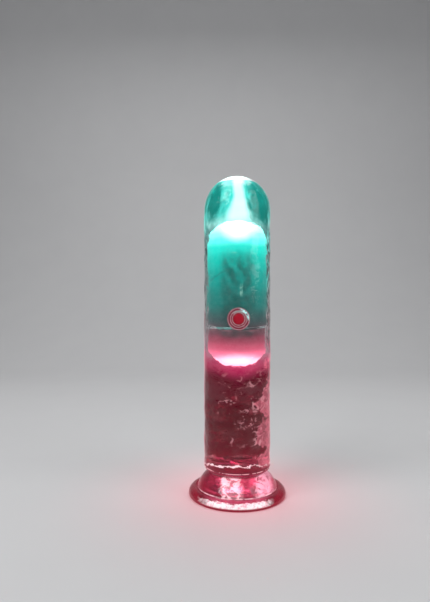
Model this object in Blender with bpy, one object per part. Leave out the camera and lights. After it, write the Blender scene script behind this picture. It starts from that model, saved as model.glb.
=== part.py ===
"""A clear soft column on a suction foot, with a sealed light capsule cast into it.

The object stands on the ground plane, +Z up, with its long axis on Z and its push button facing -Y.
All sizes are in metres. Pieces that touch on the real object keep a gap of GAP here.
"""

import math

import bmesh
import bpy
from mathutils import Vector

MM = 0.001
GAP = 0.3 * MM

# Column
HEIGHT = 200 * MM
COLUMN_RADIUS = 21 * MM
COLUMN_DOME_HEIGHT = 22 * MM
COLUMN_BASE_Z = 16.2 * MM
COLUMN_EDGE_RADIUS = 2.5 * MM

# Suction foot: a rounded flange, a bowl that is an arc in profile, and a neck
FOOT_RADIUS = 30.6 * MM
FOOT_EDGE_RADIUS = 0.9 * MM
FOOT_EDGE_TOP_Z = 1.2 * MM
FOOT_FLANGE_WIDTH = 4.7 * MM
FOOT_FLANGE_TOP_Z = 5.1 * MM
FOOT_BOWL_CENTRE = (7.0 * MM, -1.0 * MM)
FOOT_BOWL_CURVE = 19.2 * MM
FOOT_BOWL_ANGLES = (18, 54)
FOOT_NECK_RADIUS = 17.8 * MM
FOOT_CAVITY_RADIUS = 26 * MM
FOOT_CAVITY_DEPTH = 9 * MM
SPIGOT_RADIUS = 6 * MM
SPIGOT_HEIGHT = 8 * MM

# Light capsule
CAPSULE_RADIUS = 13 * MM
CAPSULE_WALL = 1.6 * MM
CAPSULE_BOTTOM_Z = 80.6 * MM
CAPSULE_TOP_Z = 171.6 * MM
LOWER_DOME_HEIGHT = 12.5 * MM
UPPER_DOME_HEIGHT = 12.5 * MM
SEAM_Z = 105 * MM
SEAM_GASKET_THICKNESS = 0.8 * MM
LAP_LENGTH = 4.2 * MM
LAP_WALL = 0.6 * MM

# Button stack: distances outwards from the column's axis, along -Y
BUTTON_Z = 110.8 * MM
BUTTON_TRAVEL = 0.8 * MM
BUTTON_RADIUS = 3.1 * MM
BUTTON_CROWN_START = 20.9 * MM
BUTTON_CROWN_HEIGHT = 0.8 * MM
BUTTON_COLLAR_RADIUS = 4.0 * MM
BUTTON_COLLAR_THICKNESS = 1.0 * MM
BUTTON_STEM_RADIUS = 1.5 * MM
BOSS_RADIUS = 4.9 * MM
BOSS_ROOT = 11.52 * MM
BOSS_FACE = 13.9 * MM
PORT_RADIUS = 2.4 * MM
GLAND_SEAL_THICKNESS = 1.0 * MM
GLAND_RADIUS = 5.0 * MM
GLAND_FLANGE_RADIUS = 6.8 * MM
GLAND_FLANGE_BACK = 19.3 * MM
GLAND_FACE = 21.1 * MM
GLAND_SHOULDER = 18.5 * MM
GLAND_LIP = 0.5 * MM

# Works inside the capsule
INNER_RADIUS = CAPSULE_RADIUS - CAPSULE_WALL
PLATE_RADIUS = 11 * MM
PLATE_THICKNESS = 1.5 * MM
PLATE_FLAT = 7.5 * MM
LOWER_PLATE_Z = 93.5 * MM
UPPER_PLATE_Z = 156.5 * MM
RAIL_INNER_X = 7.9 * MM
RAIL_OUTER_X = 9.4 * MM
RAIL_FRONT_Y = -3.0 * MM
RAIL_BACK_Y = 3.5 * MM
SCREW_BOSS_HEIGHT = 3.6 * MM
SCREW_BOSS_HALF_WIDTH = 3.0 * MM
BOARD_WIDTH = 16 * MM
BOARD_THICKNESS = 1.0 * MM
BOARD_FACE = 5.9 * MM
SWITCH_SIZE = 6 * MM
SWITCH_FACE = 9.5 * MM
SWITCH_BORE_FLOOR = 7.2 * MM
PLUNGER_RADIUS = 1.7 * MM
PLUNGER_TIP = 10.4 * MM
CHIP_SIZE = (5 * MM, 1.5 * MM, 6 * MM)
CHIP_Z = 131 * MM
CELL_RADIUS = 6.7 * MM
CELL_Y = 3 * MM
CELL_BOTTOM_Z = 100.9 * MM
CELL_LENGTH = 51 * MM
CELL_NUB_RADIUS = 2.6 * MM
CELL_NUB_HEIGHT = 1.0 * MM
CELL_EDGE_RADIUS = 0.6 * MM
WRAP_THICKNESS = 0.25 * MM
TAB_THICKNESS = 0.3 * MM
TAB_HALF_WIDTH = 2.5 * MM
TAB_BACK_Y = 7 * MM
LED_RADIUS = 2.5 * MM
LED_FLANGE_RADIUS = 2.9 * MM
LED_FLANGE_HEIGHT = 1.0 * MM
LED_LENGTH = 6.2 * MM
LED_BOARD_RADIUS = 7.6 * MM
LED_BOARD_THICKNESS = 1.2 * MM
REFLECTOR_FOOT = (3.2 * MM, 4.0 * MM)
REFLECTOR_LIP = (7.6 * MM, 8.3 * MM)
REFLECTOR_HEIGHT = 5.0 * MM
LEAD_RADIUS = 0.5 * MM
SCREW_RADIUS = 0.8 * MM
SCREW_HEAD_RADIUS = 1.25 * MM
SCREW_HEAD_HEIGHT = 0.8 * MM
SCREW_HOLE_RADIUS = SCREW_RADIUS + GAP
LED_SCREW_X = 5.9 * MM
LED_SCREW_LENGTH = 2.8 * MM
BOARD_SCREW_LENGTH = 4.0 * MM
SCREW_POINT = 0.4 * MM

# Sides that round pieces are drawn with
LARGE_SIDES = 40
CAPSULE_SIDES = 32
SMALL_SIDES = 20
SCREW_SIDES = 16
SHARP_ANGLE = math.radians(35)

# A length too small to matter
ON_AXIS = 1e-6 * MM


def clear_scene():
    for obj in list(bpy.data.objects):
        bpy.data.objects.remove(obj)


def material(name, colour, roughness, metallic=0.0, transmission=0.0):
    made = bpy.data.materials.get(name)
    if made:
        return made
    made = bpy.data.materials.new(name)
    made.use_nodes = True
    shader = made.node_tree.nodes["Principled BSDF"]
    shader.inputs["Base Color"].default_value = (*colour, 1.0)
    shader.inputs["Roughness"].default_value = roughness
    shader.inputs["Metallic"].default_value = metallic
    shader.inputs["Transmission Weight"].default_value = transmission
    return made


def clear_gel():
    return material("clear_gel", (0.80, 0.93, 0.92), 0.08, transmission=0.9)


def foot_gel():
    return material("foot_gel", (0.96, 0.74, 0.79), 0.08, transmission=0.9)


def frosted_shell():
    return material("frosted_shell", (0.82, 0.90, 0.89), 0.45, transmission=0.5)


def clear_plastic():
    return material("clear_plastic", (0.90, 0.90, 0.92), 0.10, transmission=0.8)


def red_silicone():
    return material("red_silicone", (0.72, 0.01, 0.03), 0.40)


def seal_rubber():
    return material("seal_rubber", (0.55, 0.56, 0.56), 0.60)


def white_plastic():
    return material("white_plastic", (0.86, 0.87, 0.86), 0.45)


def board_green():
    return material("board_green", (0.03, 0.22, 0.14), 0.40)


def board_white():
    return material("board_white", (0.82, 0.83, 0.81), 0.40)


def black_plastic():
    return material("black_plastic", (0.02, 0.02, 0.02), 0.45)


def steel():
    return material("steel", (0.62, 0.62, 0.62), 0.30, metallic=1.0)


def nickel():
    return material("nickel", (0.70, 0.68, 0.64), 0.28, metallic=1.0)


def cell_sleeve():
    return material("cell_sleeve", (0.10, 0.24, 0.42), 0.35)


def teal_lens():
    return material("teal_lens", (0.20, 0.95, 0.80), 0.10, transmission=0.5)


def red_lens():
    return material("red_lens", (0.95, 0.15, 0.28), 0.10, transmission=0.5)


def lead_red():
    return material("lead_red", (0.55, 0.02, 0.02), 0.45)


def lead_black():
    return material("lead_black", (0.02, 0.02, 0.02), 0.45)


def place(name, bm, finish, location=(0, 0, 0), tilt=0.0):
    """Makes an object of bm. A tilt of a quarter turn points its local +Z along -Y."""
    bmesh.ops.recalc_face_normals(bm, faces=bm.faces)
    mesh = bpy.data.meshes.new(name)
    bm.to_mesh(mesh)
    bm.free()
    mesh.shade_smooth()
    mesh.set_sharp_from_angle(angle=SHARP_ANGLE)
    obj = bpy.data.objects.new(name, mesh)
    bpy.context.scene.collection.objects.link(obj)
    obj.location = location
    obj.rotation_euler = (tilt, 0, 0)
    if finish:
        mesh.materials.append(finish)
    return obj


def turned(name, profile, finish=None, sides=SMALL_SIDES, **where):
    """Turns a profile of (radius, height) points about local Z.

    A profile that starts or ends on the axis is closed there, and any other profile is a closed loop.
    """
    bm = bmesh.new()
    turns = [2 * math.pi * i / sides for i in range(sides)]
    rings = []
    for radius, height in profile:
        if radius == 0:
            rings.append([Vector((0, 0, height))])
            continue
        around = [(radius * math.cos(a), radius * math.sin(a), height) for a in turns]
        rings.append([bm.verts.new(point) for point in around])
    pairs = list(zip(rings, rings[1:]))
    if len(rings[0]) > 1 and len(rings[-1]) > 1:
        pairs.append((rings[-1], rings[0]))
    for first, second in pairs:
        if len(first) == 1 or len(second) == 1:
            pole, edge = (first[0], second) if len(first) == 1 else (second[0], first)
            close_at_axis(bm, pole, edge)
            continue
        for i in range(sides):
            j = (i + 1) % sides
            bm.faces.new((first[i], first[j], second[j], second[i]))
    return place(name, bm, finish, **where)


def close_at_axis(bm, pole, edge):
    """Closes a ring of vertices with one flat face, or with a fan if its pole is at another height."""
    if abs(edge[0].co.z - pole.z) < ON_AXIS:
        bm.faces.new(edge)
        return
    apex = bm.verts.new(pole)
    for i, vert in enumerate(edge):
        bm.faces.new((apex, vert, edge[(i + 1) % len(edge)]))


def arc(centre, radii, start, end, steps):
    """Points of an elliptical arc in a (radius, height) profile, with its angles in degrees."""
    points = []
    for step in range(steps + 1):
        angle = math.radians(start + (end - start) * step / steps)
        radius = centre[0] + radii[0] * math.cos(angle)
        height = centre[1] + radii[1] * math.sin(angle)
        points.append((0 if radius < ON_AXIS else radius, height))
    return points


def rod(name, radius, start, end, finish=None, sides=SMALL_SIDES, **where):
    """A plain cylinder between two heights of local Z."""
    profile = [(0, start), (radius, start), (radius, end), (0, end)]
    return turned(name, profile, finish, sides, **where)


def ring(name, inner, outer, start, end, finish=None, sides=SMALL_SIDES, **where):
    """A washer or sleeve between two heights of local Z."""
    profile = [(inner, start), (outer, start), (outer, end), (inner, end)]
    return turned(name, profile, finish, sides, **where)


def block(name, low, high, finish=None, bevel=0.0):
    """A box between two corners, with its upright edges rounded if a bevel is given."""
    bm = bmesh.new()
    bmesh.ops.create_cube(bm, size=1)
    low, high = Vector(low), Vector(high)
    for vert in bm.verts:
        vert.co = [low[k] + (vert.co[k] + 0.5) * (high[k] - low[k]) for k in range(3)]
    obj = place(name, bm, finish)
    if bevel:
        rounding = obj.modifiers.new("edges", "BEVEL")
        rounding.width = bevel
        rounding.segments = 2
        rounding.limit_method = "ANGLE"
    return obj


def combine(target, other, operation):
    """Cuts the helper shape other out of target, or joins it on, and hides the helper."""
    other.hide_render = True
    other.display_type = "WIRE"
    boolean = target.modifiers.new(other.name, "BOOLEAN")
    boolean.operation = operation
    boolean.solver = "EXACT"
    boolean.object = other


def cut(target, *others):
    for other in others:
        combine(target, other, "DIFFERENCE")


def join(target, *others):
    for other in others:
        combine(target, other, "UNION")


def on_button_axis():
    """Where a piece of the button stack goes: its local +Z is the distance out from the column's axis."""
    return {"location": (0, 0, BUTTON_Z), "tilt": math.pi / 2}


def capsule_outline(offset, steps=6):
    """The capsule's outer profile from its lower pole to its upper one, grown by offset."""
    radius = CAPSULE_RADIUS + offset
    lower = (0, CAPSULE_BOTTOM_Z + LOWER_DOME_HEIGHT)
    upper = (0, CAPSULE_TOP_Z - UPPER_DOME_HEIGHT)
    return (
        arc(lower, (radius, LOWER_DOME_HEIGHT + offset), -90, 0, steps),
        arc(upper, (radius, UPPER_DOME_HEIGHT + offset), 0, 90, steps),
    )


def make_column():
    """The clear casting: a domed column, hollow where the capsule and the button stack are cast in."""
    edge = COLUMN_EDGE_RADIUS
    socket_radius, socket_top = SPIGOT_RADIUS + GAP, COLUMN_BASE_Z + SPIGOT_HEIGHT
    profile = [(0, socket_top), (socket_radius, socket_top), (socket_radius, COLUMN_BASE_Z)]
    profile += arc((COLUMN_RADIUS - edge, COLUMN_BASE_Z + edge), (edge, edge), -90, 0, 4)
    dome = (0, HEIGHT - COLUMN_DOME_HEIGHT)
    profile += arc(dome, (COLUMN_RADIUS, COLUMN_DOME_HEIGHT), 0, 90, 10)
    column = turned("column", profile, clear_gel(), LARGE_SIDES)

    lower, upper = capsule_outline(GAP)
    past_surface = COLUMN_RADIUS + 3 * MM
    flange_seat = GLAND_FLANGE_BACK - GAP
    stack = on_button_axis()
    cut(
        column,
        turned("capsule_recess", lower + upper, sides=CAPSULE_SIDES),
        rod("boss_recess", BOSS_RADIUS + GAP, BOSS_ROOT, BOSS_FACE + GAP, **stack),
        rod("gland_port", GLAND_RADIUS + GAP, BOSS_FACE, past_surface, **stack),
        rod("flange_recess", GLAND_FLANGE_RADIUS + GAP, flange_seat, past_surface, **stack),
    )


def make_foot():
    """The suction foot: a flexible bowl with a flat rim, a shallow hollow below and a spigot on top."""
    edge = FOOT_EDGE_RADIUS
    flange_centre = (FOOT_RADIUS - FOOT_FLANGE_WIDTH, FOOT_EDGE_TOP_Z)
    flange = (FOOT_FLANGE_WIDTH, FOOT_FLANGE_TOP_Z - FOOT_EDGE_TOP_Z)
    top = COLUMN_BASE_Z - GAP
    profile = arc((0, 0), (FOOT_CAVITY_RADIUS, FOOT_CAVITY_DEPTH), 90, 0, 8)
    profile += arc((FOOT_RADIUS - edge, edge), (edge, edge), -90, 0, 3)
    profile += arc(flange_centre, flange, 0, 90, 5)
    profile += arc(FOOT_BOWL_CENTRE, (FOOT_BOWL_CURVE, FOOT_BOWL_CURVE), *FOOT_BOWL_ANGLES, 5)
    profile += [(FOOT_NECK_RADIUS, profile[-1][1]), (FOOT_NECK_RADIUS, top), (SPIGOT_RADIUS, top)]
    profile += [(SPIGOT_RADIUS, top + SPIGOT_HEIGHT), (0, top + SPIGOT_HEIGHT)]
    turned("suction_foot", profile, foot_gel(), LARGE_SIDES)


def make_capsule():
    """Two frosted shells that lap at the seam, with a gasket ring between their rims."""
    gasket = SEAM_GASKET_THICKNESS / 2
    lower_rim = SEAM_Z - gasket - GAP
    shoulder = SEAM_Z + gasket + GAP
    lap_bottom = lower_rim - LAP_LENGTH
    lap_outer = INNER_RADIUS + LAP_WALL
    lower_outside, upper_outside = capsule_outline(0)
    lower_inside, upper_inside = capsule_outline(-CAPSULE_WALL)

    upper = upper_outside[::-1] + [(CAPSULE_RADIUS, shoulder), (lap_outer, shoulder)]
    upper += [(lap_outer, lap_bottom + GAP), (INNER_RADIUS, lap_bottom + GAP)] + upper_inside
    upper_shell = turned("capsule_upper_shell", upper, frosted_shell(), CAPSULE_SIDES)
    join(upper_shell, rod("button_boss", BOSS_RADIUS, BOSS_ROOT, BOSS_FACE, **on_button_axis()))
    cut(upper_shell, rod("button_port", PORT_RADIUS, 8 * MM, BOSS_FACE + MM, **on_button_axis()))

    lower = lower_outside + [(CAPSULE_RADIUS, lower_rim), (lap_outer + GAP, lower_rim)]
    lower += [(lap_outer + GAP, lap_bottom), (INNER_RADIUS, lap_bottom)] + lower_inside[::-1]
    turned("capsule_lower_shell", lower, frosted_shell(), CAPSULE_SIDES)

    ring(
        "seam_gasket",
        lap_outer + GAP,
        CAPSULE_RADIUS,
        SEAM_Z - gasket,
        SEAM_Z + gasket,
        seal_rubber(),
        CAPSULE_SIDES,
    )


def make_button_stack():
    """The red button in its clear gland, the seal behind it, and the switch that it presses."""
    seal_start = BOSS_FACE + GAP
    gland_start = seal_start + GLAND_SEAL_THICKNESS + GAP
    collar_bore = BUTTON_COLLAR_RADIUS + GAP
    face_bore = BUTTON_RADIUS + GAP
    lip = GLAND_LIP
    gland = [
        (collar_bore, gland_start),
        (GLAND_RADIUS, gland_start),
        (GLAND_RADIUS, GLAND_FLANGE_BACK),
        (GLAND_FLANGE_RADIUS, GLAND_FLANGE_BACK),
        (GLAND_FLANGE_RADIUS, GLAND_FACE - lip),
        (GLAND_FLANGE_RADIUS - lip, GLAND_FACE),
        (face_bore + lip, GLAND_FACE),
        (face_bore, GLAND_FACE - lip),
        (face_bore, GLAND_SHOULDER),
        (collar_bore, GLAND_SHOULDER),
    ]
    stack = on_button_axis()
    turned("button_gland", gland, clear_plastic(), CAPSULE_SIDES, **stack)
    seal_inner = PORT_RADIUS + GAP
    seal_end = seal_start + GLAND_SEAL_THICKNESS
    ring("gland_seal", seal_inner, GLAND_RADIUS, seal_start, seal_end, seal_rubber(), **stack)

    stem_end = PLUNGER_TIP + GAP
    collar_front = GLAND_SHOULDER - GAP
    collar_back = collar_front - BUTTON_COLLAR_THICKNESS
    cap = [
        (0, stem_end),
        (BUTTON_STEM_RADIUS, stem_end),
        (BUTTON_STEM_RADIUS, collar_back),
        (BUTTON_COLLAR_RADIUS, collar_back),
        (BUTTON_COLLAR_RADIUS, collar_front),
        (BUTTON_RADIUS, collar_front),
    ]
    cap += arc((0, BUTTON_CROWN_START), (BUTTON_RADIUS, BUTTON_CROWN_HEIGHT), 0, 90, 4)
    turned("button_cap", cap, red_silicone(), **stack)

    plunger_back = SWITCH_BORE_FLOOR + BUTTON_TRAVEL + GAP
    rod("switch_plunger", PLUNGER_RADIUS, plunger_back, PLUNGER_TIP, black_plastic(), **stack)
    half = SWITCH_SIZE / 2
    switch = block(
        "switch_body",
        (-half, -SWITCH_FACE, BUTTON_Z - half),
        (half, -BOARD_FACE - GAP, BUTTON_Z + half),
        black_plastic(),
        bevel=0.4 * MM,
    )
    bore_end = SWITCH_FACE + MM
    cut(switch, rod("plunger_bore", PLUNGER_RADIUS + GAP, SWITCH_BORE_FLOOR, bore_end, **stack))


def board_screw_heights():
    """Heights of the two screws that hold the main board, each in the middle of its boss."""
    middle = SCREW_BOSS_HEIGHT / 2
    return (LOWER_PLATE_Z + PLATE_THICKNESS + middle, UPPER_PLATE_Z - middle)


def make_carrier():
    """The white frame that holds the cell, the main board and both light boards."""
    lower_top = LOWER_PLATE_Z + PLATE_THICKNESS
    upper_top = UPPER_PLATE_Z + PLATE_THICKNESS
    plates = {"lower": (LOWER_PLATE_Z, lower_top), "upper": (UPPER_PLATE_Z, upper_top)}
    frame = rod("carrier_frame", PLATE_RADIUS, *plates["lower"], white_plastic(), CAPSULE_SIDES)
    join(frame, rod("upper_plate", PLATE_RADIUS, *plates["upper"], sides=CAPSULE_SIDES))
    bite = PLATE_THICKNESS / 2
    for side, name in ((-1, "left_rail"), (1, "right_rail")):
        low_x, high_x = sorted((side * RAIL_INNER_X, side * RAIL_OUTER_X))
        low = (low_x, RAIL_FRONT_Y, lower_top - bite)
        join(frame, block(name, low, (high_x, RAIL_BACK_Y, UPPER_PLATE_Z + bite)))
    boss_front = GAP + BOARD_THICKNESS - BOARD_FACE
    bosses = {
        "lower_boss": (lower_top - bite, lower_top + SCREW_BOSS_HEIGHT),
        "upper_boss": (UPPER_PLATE_Z - SCREW_BOSS_HEIGHT, UPPER_PLATE_Z + bite),
    }
    for name, (bottom, top) in bosses.items():
        low = (-SCREW_BOSS_HALF_WIDTH, boss_front, bottom)
        join(frame, block(name, low, (SCREW_BOSS_HALF_WIDTH, 0, top)))
    past = PLATE_RADIUS + MM
    for plate, (bottom, top) in plates.items():
        start, end = bottom - MM, top + MM
        cut(frame, block(f"{plate}_plate_flat", (-past, -past, start), (past, -PLATE_FLAT, end)))
        for side, x in (("left", -LED_SCREW_X), ("right", LED_SCREW_X)):
            hole_name = f"{plate}_plate_{side}_hole"
            cut(frame, rod(hole_name, SCREW_HOLE_RADIUS, start, end, location=(x, 0, 0)))
    for index, z in enumerate(board_screw_heights()):
        where = {"location": (0, 0, z), "tilt": math.pi / 2}
        cut(frame, rod(f"boss_hole_{index}", SCREW_HOLE_RADIUS, MM, BOARD_FACE, **where))


def make_main_board():
    """The main board, screwed to the carrier's bosses, with its control chip."""
    half = BOARD_WIDTH / 2
    clearance = 0.5 * MM
    board = block(
        "main_board",
        (-half, -BOARD_FACE, LOWER_PLATE_Z + PLATE_THICKNESS + clearance),
        (half, BOARD_THICKNESS - BOARD_FACE, UPPER_PLATE_Z - clearance),
        board_green(),
    )
    head_seat = BOARD_FACE + GAP
    tip = head_seat - BOARD_SCREW_LENGTH
    profile = [(0, tip), (SCREW_RADIUS, tip + SCREW_POINT), (SCREW_RADIUS, head_seat)]
    profile += [(SCREW_HEAD_RADIUS, head_seat)]
    profile += arc((0, head_seat), (SCREW_HEAD_RADIUS, SCREW_HEAD_HEIGHT), 20, 90, 3)
    hole_start, hole_end = BOARD_FACE - BOARD_THICKNESS - MM, BOARD_FACE + MM
    for index, z in enumerate(board_screw_heights(), start=1):
        where = {"location": (0, 0, z), "tilt": math.pi / 2}
        cut(board, rod(f"board_hole_{index}", SCREW_HOLE_RADIUS, hole_start, hole_end, **where))
        turned(f"board_screw_{index}", profile, steel(), SCREW_SIDES, **where)
    chip_width, chip_depth, chip_height = CHIP_SIZE
    chip_back = -BOARD_FACE - GAP
    block(
        "control_chip",
        (-chip_width / 2, chip_back - chip_depth, CHIP_Z - chip_height / 2),
        (chip_width / 2, chip_back, CHIP_Z + chip_height / 2),
        black_plastic(),
        bevel=0.2 * MM,
    )


def make_cell():
    """The rechargeable cell in its sleeve, with a flat connecting tab at each end."""
    top = CELL_BOTTOM_Z + CELL_LENGTH
    can_top = top - CELL_NUB_HEIGHT
    edge = CELL_EDGE_RADIUS
    profile = [(0, CELL_BOTTOM_Z)]
    profile += arc((CELL_RADIUS - edge, CELL_BOTTOM_Z + edge), (edge, edge), -90, 0, 2)
    profile += arc((CELL_RADIUS - edge, can_top - edge), (edge, edge), 0, 90, 2)
    profile += [(CELL_NUB_RADIUS, can_top), (CELL_NUB_RADIUS, top), (0, top)]
    middle = {"location": (0, CELL_Y, 0)}
    turned("battery_cell", profile, steel(), CAPSULE_SIDES, **middle)
    inner = CELL_RADIUS + GAP
    outer = inner + WRAP_THICKNESS
    start, end = CELL_BOTTOM_Z + GAP, can_top + GAP
    ring("battery_wrap", inner, outer, start, end, cell_sleeve(), CAPSULE_SIDES, **middle)

    tab_front = BOARD_THICKNESS + GAP - BOARD_FACE
    tabs = {"negative_tab": CELL_BOTTOM_Z - GAP - TAB_THICKNESS, "positive_tab": top + GAP}
    for name, low in tabs.items():
        high = (TAB_HALF_WIDTH, TAB_BACK_Y, low + TAB_THICKNESS)
        block(name, (-TAB_HALF_WIDTH, tab_front, low), high, nickel())


def make_light(name, plate_face, direction, lens):
    """A light at one end of the carrier: its board, two screws, a 5 mm LED and a reflector cone.

    Heights are measured from the carrier plate's outer face, along direction (1 up, -1 down).
    """

    def along(profile):
        return [(radius, plate_face + direction * height) for radius, height in profile]

    board_top = GAP + LED_BOARD_THICKNESS
    disc = [(0, GAP), (LED_BOARD_RADIUS, GAP), (LED_BOARD_RADIUS, board_top), (0, board_top)]
    board = turned(f"{name}_led_board", along(disc), board_white(), CAPSULE_SIDES)
    seat = board_top + GAP
    flange_top = seat + LED_FLANGE_HEIGHT
    body_top = seat + LED_LENGTH - LED_RADIUS
    led = [(0, seat), (LED_FLANGE_RADIUS, seat)]
    led += [(LED_FLANGE_RADIUS, flange_top), (LED_RADIUS, flange_top)]
    led += arc((0, body_top), (LED_RADIUS, LED_RADIUS), 0, 90, 4)
    turned(f"{name}_led", along(led), lens)

    cone = [(radius, seat) for radius in REFLECTOR_FOOT]
    cone += [(radius, seat + REFLECTOR_HEIGHT) for radius in reversed(REFLECTOR_LIP)]
    turned(f"{name}_reflector", along(cone), white_plastic(), CAPSULE_SIDES)

    tip = seat - LED_SCREW_LENGTH
    screw = [(0, tip), (SCREW_RADIUS, tip + SCREW_POINT)]
    screw += [(SCREW_RADIUS, seat), (SCREW_HEAD_RADIUS, seat)]
    screw += arc((0, seat), (SCREW_HEAD_RADIUS, SCREW_HEAD_HEIGHT), 20, 90, 3)
    low, high = sorted((plate_face, plate_face + direction * (seat + MM)))
    for index, x in enumerate((-LED_SCREW_X, LED_SCREW_X), start=1):
        here = {"location": (x, 0, 0)}
        cut(board, rod(f"{name}_board_hole_{index}", SCREW_HOLE_RADIUS, low, high, **here))
        turned(f"{name}_led_screw_{index}", along(screw), steel(), SCREW_SIDES, **here)


def smooth_route(points, steps=5):
    """Points of a Catmull-Rom curve through the given ones."""
    knots = [Vector(p) for p in points]
    knots = [2 * knots[0] - knots[1], *knots, 2 * knots[-1] - knots[-2]]
    route = []
    for a, b, c, d in zip(knots, knots[1:], knots[2:], knots[3:]):
        for step in range(steps):
            t = step / steps
            slope = (c - a) * t
            bend = (2 * a - 5 * b + 4 * c - d) * t**2
            twist = (3 * (b - c) + d - a) * t**3
            route.append(b + (slope + bend + twist) / 2)
    route.append(knots[-2])
    return route


def make_lead(name, points_mm, finish):
    """A thin insulated wire along a smooth route through points given in millimetres."""
    route = smooth_route([Vector(p) * MM for p in points_mm])
    curve = bpy.data.curves.new(name, "CURVE")
    curve.dimensions = "3D"
    curve.bevel_depth = LEAD_RADIUS
    curve.bevel_resolution = 2
    curve.use_fill_caps = True
    spline = curve.splines.new("POLY")
    spline.points.add(len(route) - 1)
    for point, place_at in zip(spline.points, route):
        point.co = (*place_at, 1)
    curve.materials.append(finish)
    bpy.context.scene.collection.objects.link(bpy.data.objects.new(name, curve))


def make_leads():
    """Four leads from the main board's front, round the plates' flats, to the two light boards."""
    make_lead(
        "upper_lead_negative",
        [
            (-5.6, -6.3, 134),
            (-6.3, -7.2, 136.5),
            (-6.6, -7.6, 142),
            (-5.2, -8.6, 148),
            (-3.2, -9.0, 153),
            (-2.6, -8.9, 157.5),
            (-2.5, -7.9, 160.1),
            (-2.4, -5.9, 160.7),
        ],
        lead_black(),
    )
    make_lead(
        "upper_lead_positive",
        [
            (5.6, -6.3, 141),
            (5.8, -7.4, 142.8),
            (4.9, -8.5, 147.5),
            (3.2, -9.0, 153),
            (2.6, -8.9, 157.5),
            (2.5, -7.9, 160.1),
            (2.4, -5.9, 160.7),
        ],
        lead_red(),
    )
    for side, name, finish in ((-1, "negative", lead_black()), (1, "positive", lead_red())):
        make_lead(
            f"lower_lead_{name}",
            [
                (side * 5.6, -6.3, 104.5),
                (side * 5.4, -7.4, 103),
                (side * 4.0, -8.6, 99.3),
                (side * 2.8, -8.9, 95.5),
                (side * 2.5, -8.4, 91.8),
                (side * 2.4, -7.6, 90.7),
                (side * 2.4, -6.1, 90.4),
            ],
            finish,
        )


def main():
    clear_scene()
    make_column()
    make_foot()
    make_capsule()
    make_button_stack()
    make_carrier()
    make_main_board()
    make_cell()
    make_light("upper", UPPER_PLATE_Z + PLATE_THICKNESS, 1, teal_lens())
    make_light("lower", LOWER_PLATE_Z, -1, red_lens())
    make_leads()


main()
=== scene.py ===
"""A clear, soft column on a suction foot, lit from inside by a teal and a red light.

The CAD frame gives every position. The pieces that show most are rebuilt here as fine meshes that
follow their CAD solids, and the rest keep their CAD shape. Every piece is made in place, so object
coordinates are the frame's own. Lengths are metres, except where a docstring or a name says that
they are millimetres.
"""

import math

import bmesh
import bpy
from mathutils import Matrix, Vector, noise


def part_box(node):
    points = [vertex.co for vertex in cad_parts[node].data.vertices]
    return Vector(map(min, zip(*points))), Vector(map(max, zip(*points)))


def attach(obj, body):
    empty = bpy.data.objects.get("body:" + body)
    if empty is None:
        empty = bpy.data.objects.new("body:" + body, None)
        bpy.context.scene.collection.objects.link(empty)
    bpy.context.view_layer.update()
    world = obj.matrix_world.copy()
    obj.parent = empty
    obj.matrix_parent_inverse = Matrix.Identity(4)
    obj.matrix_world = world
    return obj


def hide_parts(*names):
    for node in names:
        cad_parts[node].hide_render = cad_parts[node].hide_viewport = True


MM = 0.001
HOUSING = "housing"
BUTTON = "button"

# How far a bonded piece sinks into its neighbour, so that no film of air is left between them
BITE = 0.05 * MM

# The free gap between two CAD pieces that touch in the real object
CAD_GAP = 0.3 * MM

# Shape details that the CAD boxes don't give
DOME_HEIGHT = 22 * MM
COLUMN_EDGE = 2.5 * MM
CAPSULE_WALL = 1.6 * MM
CAPSULE_DOME = 12.5 * MM
LAP_WALL = 0.6 * MM
RIM_ROUND = 0.15 * MM
BOSS_RADIUS = 4.9 * MM
PORT_RADIUS = 2.4 * MM
FLANGE_THICKNESS = 1.8 * MM
NECK_RADIUS = 17.8 * MM
SPIGOT_RADIUS = 6.15 * MM
CAVITY_RADIUS = 26 * MM
CAVITY_DEPTH = 9 * MM

# Surface ripple of the column
RIPPLE_DEPTH = 0.42 * MM
RIPPLE_SIZE = 9 * MM
RIPPLE_HEIGHT = RIPPLE_SIZE * 1.5
RIPPLE_MEAN = 0.35
FINE_RIPPLE = 0.45
FINER_BY = 2.3
FINE_OFFSET = Vector((7, 3, 5))

# Mesh settings: points this near are one, and flatter edges than this angle in degrees are smooth
SAME_POINT = 1e-7
SMOOTH_ANGLE = 35

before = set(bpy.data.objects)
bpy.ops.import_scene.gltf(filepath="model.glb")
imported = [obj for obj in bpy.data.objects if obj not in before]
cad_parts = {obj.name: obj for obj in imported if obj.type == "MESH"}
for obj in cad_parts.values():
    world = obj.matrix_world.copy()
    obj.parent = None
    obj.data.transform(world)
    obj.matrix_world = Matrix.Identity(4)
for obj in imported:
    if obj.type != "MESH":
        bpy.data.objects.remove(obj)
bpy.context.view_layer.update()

col_lo, col_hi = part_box("column")
foot_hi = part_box("suction_foot")[1]
shell_lo, shell_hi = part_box("capsule_upper_shell")
low_shell_lo, low_shell_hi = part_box("capsule_lower_shell")
gasket_lo, gasket_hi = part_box("seam_gasket")
gland_lo, gland_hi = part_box("button_gland")
seal_lo, seal_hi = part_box("gland_seal")
cap_lo, cap_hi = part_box("button_cap")

COLUMN_R = col_hi.x
TOP = col_hi.z
BASE = col_lo.z
CAPSULE_R = shell_hi.x
CAPSULE_TOP = shell_hi.z
CAPSULE_BOTTOM = low_shell_lo.z
CAPSULE_INNER_R = CAPSULE_R - CAPSULE_WALL
LAP_R = CAPSULE_INNER_R + LAP_WALL
GLAND_R = (seal_hi.x - seal_lo.x) / 2
FLANGE_R = (gland_hi.x - gland_lo.x) / 2
FLANGE_BACK = -gland_lo.y - FLANGE_THICKNESS
BUTTON_Z = (cap_lo.z + cap_hi.z) / 2

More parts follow.
